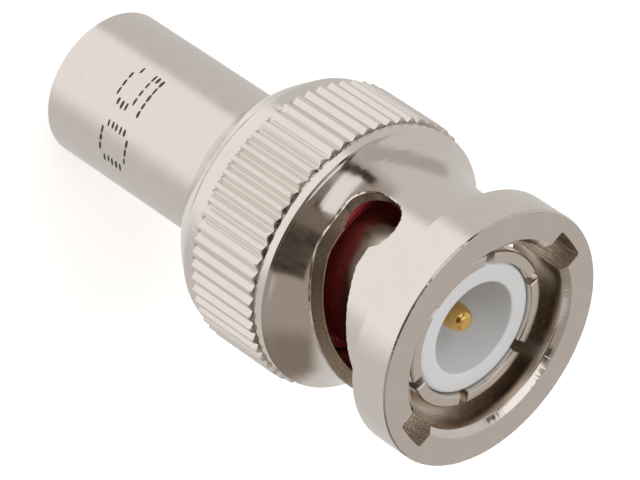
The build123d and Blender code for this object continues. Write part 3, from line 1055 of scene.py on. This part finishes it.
def toward(tree, vector, start, end):
    """0 where the view's share along a vector is start, 1 where it is end."""
    return smooth_step(tree, share_along(tree, vector), start, end)


def off_middle(tree, azimuth, elevation, wide, tall):
    """How far the view is from a place, sideways and upwards, in its half widths."""
    x = share_along(tree, direction(azimuth + 90, 0))
    y = share_along(tree, direction(azimuth, elevation + 90))
    return (
        compute(tree, "DIVIDE", x, sin(radians(wide))),
        compute(tree, "DIVIDE", y, sin(radians(tall))),
    )


def near_side(tree, azimuth, elevation):
    """1 on a place's side of the studio, 0 on the opposite side."""
    return toward(tree, direction(azimuth, elevation), 0.0, 0.1)


def ellipse(tree, azimuth, elevation, wide, tall, soft):
    """1 inside an ellipse, 0 outside it; wide and tall are half its width and height."""
    x, y = off_middle(tree, azimuth, elevation, wide, tall)
    inside = smooth_step(tree, length(tree, x, y), 1 + soft, 1 - soft)
    return times(tree, inside, near_side(tree, azimuth, elevation))


def block(tree, azimuth, elevation, wide, tall, soft):
    """1 inside a rectangle, 0 outside it; wide and tall are half its width and height."""
    x, y = off_middle(tree, azimuth, elevation, wide, tall)
    far = compute(tree, "MAXIMUM", compute(tree, "ABSOLUTE", x), compute(tree, "ABSOLUTE", y))
    inside = smooth_step(tree, far, 1 + soft, 1 - soft)
    return times(tree, inside, near_side(tree, azimuth, elevation))


def over(tree, below, value, share):
    """Paints a brightness over another by a share."""
    kept = times(tree, below, compute(tree, "SUBTRACT", 1.0, share))
    return add(tree, kept, times(tree, value, share))


def room_level(tree):
    """Brightness of the room: its walls, and the table below, brighter toward the camera."""
    down = (0, 0, -1)
    far_wall = toward(tree, direction(-160, 0), cos(radians(85)), cos(radians(65)))
    far_corner = toward(tree, direction(160, 36), cos(radians(45)), cos(radians(20)))
    table = toward(tree, down, sin(radians(12)), sin(radians(30)))
    near = times(
        tree,
        toward(tree, direction(40, 0), -0.50, -0.32),
        toward(tree, direction(-82, 0), -0.62, -0.16),
    )
    near_table = times(tree, near, toward(tree, down, 0.0, sin(radians(25))))
    level = over(tree, 0.47, 0.80, far_wall)
    level = over(tree, level, 0.30, ellipse(tree, 100, -2, 24, 34, 0.4))
    level = over(tree, level, 0.64, far_corner)
    level = over(tree, level, 0.80, table)
    return over(tree, level, 1.22, near_table)


def grey_band(tree, level):
    """Paints the band that the cove mirrors to the left of the bright block."""
    for i in range(BAND_STEPS + 1):
        t = i / BAND_STEPS
        angle, z = (a + (b - a) * t for a, b in zip(BAND_START, BAND_END))
        size = (BAND_HALF_WIDTH, BAND_HALF_WIDTH, BAND_SOFTNESS)
        level = over(tree, level, 0.58, ellipse(tree, *mirrored(angle, z), *size))
    return level


def studio_level(tree):
    """Brightness of the whole studio, as the part mirrors it."""
    level = grey_band(tree, room_level(tree))
    # The window above, the dark shelf beside it and the bright block below them
    level = over(tree, level, 1.4, ellipse(tree, -60, 65, 24, 12, 0.15))
    level = over(tree, level, 0.26, block(tree, -20, 52, 25, 8.5, 0.1))
    level = over(tree, level, 1.14, block(tree, -54, 32, 19, 11.5, 0.05))
    # The streaked dark part with its softer left side
    x, y = off_middle(tree, *STREAKED)
    stretched = joined(tree, times(tree, x, 4.0), times(tree, y, 0.3), 0.0)
    streaks = spread(tree, noise(tree, stretched, 2.0, 3.0, 0.6), 0.02, 0.16)
    level = over(tree, level, streaks, block(tree, *STREAKED, 0.08))
    level = over(tree, level, 0.24, block(tree, -21, 34, 7, 20, 0.35))
    # The dark stripe between the band and the bright block, and the spot above the band
    level = over(tree, level, 0.05, block(tree, -76.5, 30, 4.0, 22, 0.25))
    level = over(tree, level, 0.05, ellipse(tree, -107, 49, 4, 5, 0.3))
    # The pale patch past the streaked part, and the dark spot above it
    level = over(tree, level, 0.70, ellipse(tree, 61, 46, 14, 7, 0.3))
    return over(tree, level, 0.05, ellipse(tree, 12, 65, 5, 6, 0.3))


def add_world():
    """A plain studio around the part, warmer where it is dark, and white to the camera."""
    world = bpy.data.worlds.new("studio")
    bpy.context.scene.world = world
    world.use_nodes = True
    tree = world.node_tree
    tree.nodes.clear()
    look = tree.nodes.new("ShaderNodeTexCoord")
    look.name = "look"
    level = studio_level(tree)
    dark_tint, light_tint = (0.8, 0.62, 0.47), (0.8, 0.774, 0.75)
    tint = colour_between(tree, smooth_step(tree, level, 0.0, 0.9), dark_tint, light_tint)
    light = tree.nodes.new("ShaderNodeBackground")
    tree.links.new(level, light.inputs["Strength"])
    tree.links.new(tint, light.inputs["Color"])
    white = tree.nodes.new("ShaderNodeBackground")
    white.inputs["Color"].default_value = (1, 1, 1, 1)
    path = tree.nodes.new("ShaderNodeLightPath")
    choose = tree.nodes.new("ShaderNodeMixShader")
    tree.links.new(path.outputs["Is Camera Ray"], choose.inputs[0])
    tree.links.new(light.outputs[0], choose.inputs[1])
    tree.links.new(white.outputs[0], choose.inputs[2])
    out = tree.nodes.new("ShaderNodeOutputWorld")
    tree.links.new(choose.outputs[0], out.inputs["Surface"])


def add_lamp(name, azimuth, elevation, distance, size, power):
    """A square soft lamp aimed at the middle of the part, and not mirrored in it."""
    lamp = bpy.data.lights.new(name, "AREA")
    lamp.size = size * MM
    lamp.energy = power
    holder = bpy.data.objects.new(name, lamp)
    middle = Vector(PART_MIDDLE) * MM
    holder.location = middle + direction(azimuth, elevation) * distance * MM
    holder.rotation_euler = (holder.location - middle).to_track_quat("Z", "Y").to_euler()
    bpy.context.scene.collection.objects.link(holder)
    holder.visible_glossy = False


def glow_to_view(tree, strength):
    """A glow that the camera sees, directly or in a mirror, and that lights nothing else."""
    glow = tree.nodes.new("ShaderNodeEmission")
    glow.inputs["Strength"].default_value = strength
    none = tree.nodes.new("ShaderNodeEmission")
    none.inputs["Strength"].default_value = 0.0
    path = tree.nodes.new("ShaderNodeLightPath")
    camera_ray, glossy_ray, clear_ray = (
        path.outputs[f"Is {kind} Ray"] for kind in ("Camera", "Glossy", "Transmission")
    )
    mirror_ray = compute(tree, "MAXIMUM", glossy_ray, clear_ray)
    seen = tree.nodes.new("ShaderNodeMixShader")
    tree.links.new(compute(tree, "MAXIMUM", camera_ray, mirror_ray), seen.inputs[0])
    tree.links.new(none.outputs[0], seen.inputs[1])
    tree.links.new(glow.outputs[0], seen.inputs[2])
    return seen.outputs[0]


def add_floor():
    """A plain pale floor that shows white and keeps the part's shadow."""
    size = FLOOR_HALF_SIZE
    corners = [(-size, -size, 0), (size, -size, 0), (size, size, 0), (-size, size, 0)]
    mesh = bpy.data.meshes.new("floor")
    mesh.from_pydata([Vector(p) * MM for p in corners], [], [(0, 1, 2, 3)])
    floor = bpy.data.objects.new("floor", mesh)
    bpy.context.scene.collection.objects.link(floor)
    floor.visible_glossy = False
    material, shader = new_material("floor_white", (0.85, 0.85, 0.85), 0.0, 0.9)
    tree = material.node_tree
    both = tree.nodes.new("ShaderNodeAddShader")
    tree.links.new(shader.outputs[0], both.inputs[0])
    tree.links.new(glow_to_view(tree, 0.62), both.inputs[1])
    tree.links.new(both.outputs[0], tree.nodes["Material Output"].inputs["Surface"])
    dress(floor, material)


def add_camera():
    """The photograph's camera."""
    lens = bpy.data.cameras.new("camera")
    lens.lens = CAMERA_LENS
    lens.sensor_width = CAMERA_SENSOR
    lens.clip_start = 0.001
    lens.clip_end = 10
    camera = bpy.data.objects.new("camera", lens)
    axes = Matrix((CAMERA_RIGHT, CAMERA_UP, CAMERA_BACK)).transposed().to_4x4()
    camera.matrix_world = Matrix.Translation(Vector(CAMERA_PLACE) * MM) @ axes
    bpy.context.scene.collection.objects.link(camera)
    bpy.context.scene.camera = camera


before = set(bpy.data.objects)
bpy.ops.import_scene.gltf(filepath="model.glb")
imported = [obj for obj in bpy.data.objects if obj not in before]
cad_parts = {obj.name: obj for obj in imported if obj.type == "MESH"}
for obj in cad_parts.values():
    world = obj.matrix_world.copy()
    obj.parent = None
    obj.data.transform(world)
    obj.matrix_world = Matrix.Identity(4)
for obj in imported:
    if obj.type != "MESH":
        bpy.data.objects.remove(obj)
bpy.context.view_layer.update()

nickel = turned_metal("nickel", (0.80, 0.76, 0.725), 0.11)
nickel_barrel = turned_metal("nickel_barrel", (0.80, 0.76, 0.725), 0.18)
# The milled and broached nickels are darker, browner copies of the plated nickel: painted shade on
# the slot walls. Their roughness and relief are the cut finish.
milled_nickel_painted_shade = milled_metal("milled_nickel_painted_shade", (0.50, 0.43, 0.35), 0.34, 0.02)
broached_nickel_painted_shade = milled_metal("broached_nickel_painted_shade", (0.58, 0.50, 0.41), 0.2, 0.06)
# The bored nickel is a darker, browner copy with painted shade in the bore. Its roughness and tool
# lines are the bore's own.
bored_nickel_painted_shade = turned_metal("bored_nickel_painted_shade", (0.70, 0.60, 0.50), 0.24, lines=2.0)
nickel_contact = turned_metal("nickel_contact", (0.80, 0.75, 0.70), 0.22)
gold = turned_metal("gold", (0.95, 0.62, 0.20), 0.13)
steel = turned_metal("spring_steel", (0.56, 0.55, 0.53), 0.3)
tin = turned_metal("tinned", (0.68, 0.68, 0.66), 0.35)
brass = turned_metal("bare_brass", (0.75, 0.58, 0.30), 0.3)
white = plain_material("white_insulator", (0.87, 0.915, 0.97), 0.42, 0.01, 0.8)
let_light_in(white, 0.25, 0.5)
red = plain_material("red_silicone", (0.60, 0.045, 0.07), 0.35, 0.06, 3.0)
ink = plain_material("ink", (0.10, 0.085, 0.08), 0.6, 0.3, 4.0)
ceramic = plain_material("ceramic", (0.75, 0.72, 0.66), 0.5, 0.04, 2.0)

# The nut takes its materials in the order plated, milled, bored, broached; the last three are
# darker with painted shade.
coupling_nut((nickel, milled_nickel_painted_shade, bored_nickel_painted_shade, broached_nickel_painted_shade))
dress(barrel(), nickel_barrel)
dress(ink_numerals(), ink)
dress(outer_contact(), nickel_contact)
dress(front_insulator(), white)
dress(centre_contact(), gold)
dress(gasket(), red)

# Pieces that keep their CAD shape
kept = {
    "plug_body": nickel,
    "rear_insulator": white,
    "slip_washer": steel,
    "wave_washer_rear": steel,
    "wave_washer_middle": steel,
    "wave_washer_front": steel,
    "flange_washer": steel,
    "resistor_body": ceramic,
    "resistor_front_cap": tin,
    "resistor_rear_cap": tin,
    "resistor_front_lead": tin,
    "resistor_rear_lead": tin,
    "front_solder": tin,
    "rear_solder": tin,
    "ground_bush": brass,
}
for name, material in kept.items():
    dress(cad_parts[name], material)

# The wave washers each get a mesh of their own
for name in ("wave_washer_rear", "wave_washer_middle", "wave_washer_front"):
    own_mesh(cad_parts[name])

add_world()
add_lamp("key", -50, 58, distance=300, size=220, power=0.28)
add_floor()
add_camera()
scene = bpy.context.scene
scene.view_settings.view_transform = "Standard"
